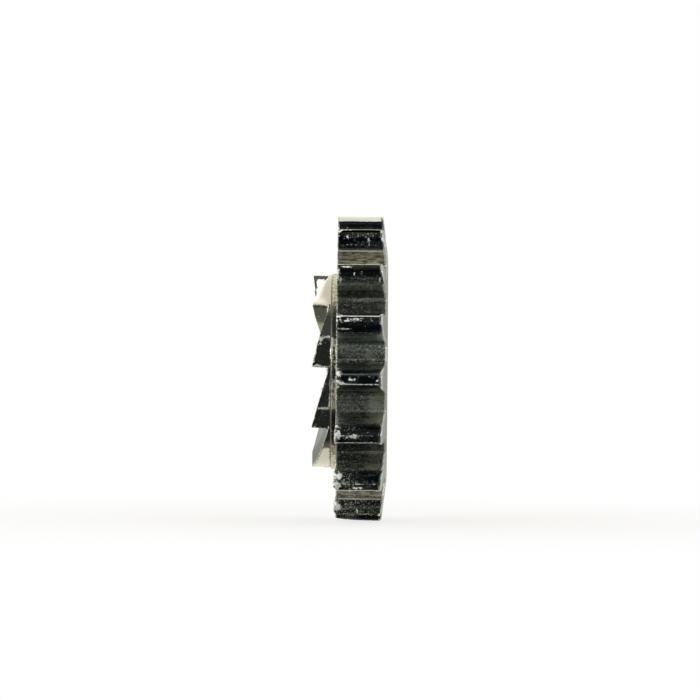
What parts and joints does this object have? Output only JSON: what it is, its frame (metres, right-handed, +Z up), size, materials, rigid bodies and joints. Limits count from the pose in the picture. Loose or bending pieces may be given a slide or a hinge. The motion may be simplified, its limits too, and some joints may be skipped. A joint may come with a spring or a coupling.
{
  "type": "winding pinion",
  "caption": "Small steel spur gear with a plain bore, a face of saw-shaped ratchet teeth on one side and a flat face on the other.",
  "frame": {"origin": "middle of the bore, in the plane of the flat outer face", "axes": "+X along the bore, out of the flat outer face; the ratchet teeth point towards -X; +Z is up in the picture's pose"},
  "size_m": [0.0007, 0.003, 0.003],
  "materials": {
    "steel": "polished, with fine cutter marks along the tooth gaps"
  },
  "bodies": {
    "root": {"winding_pinion": "steel"}
  },
  "joints": []
}
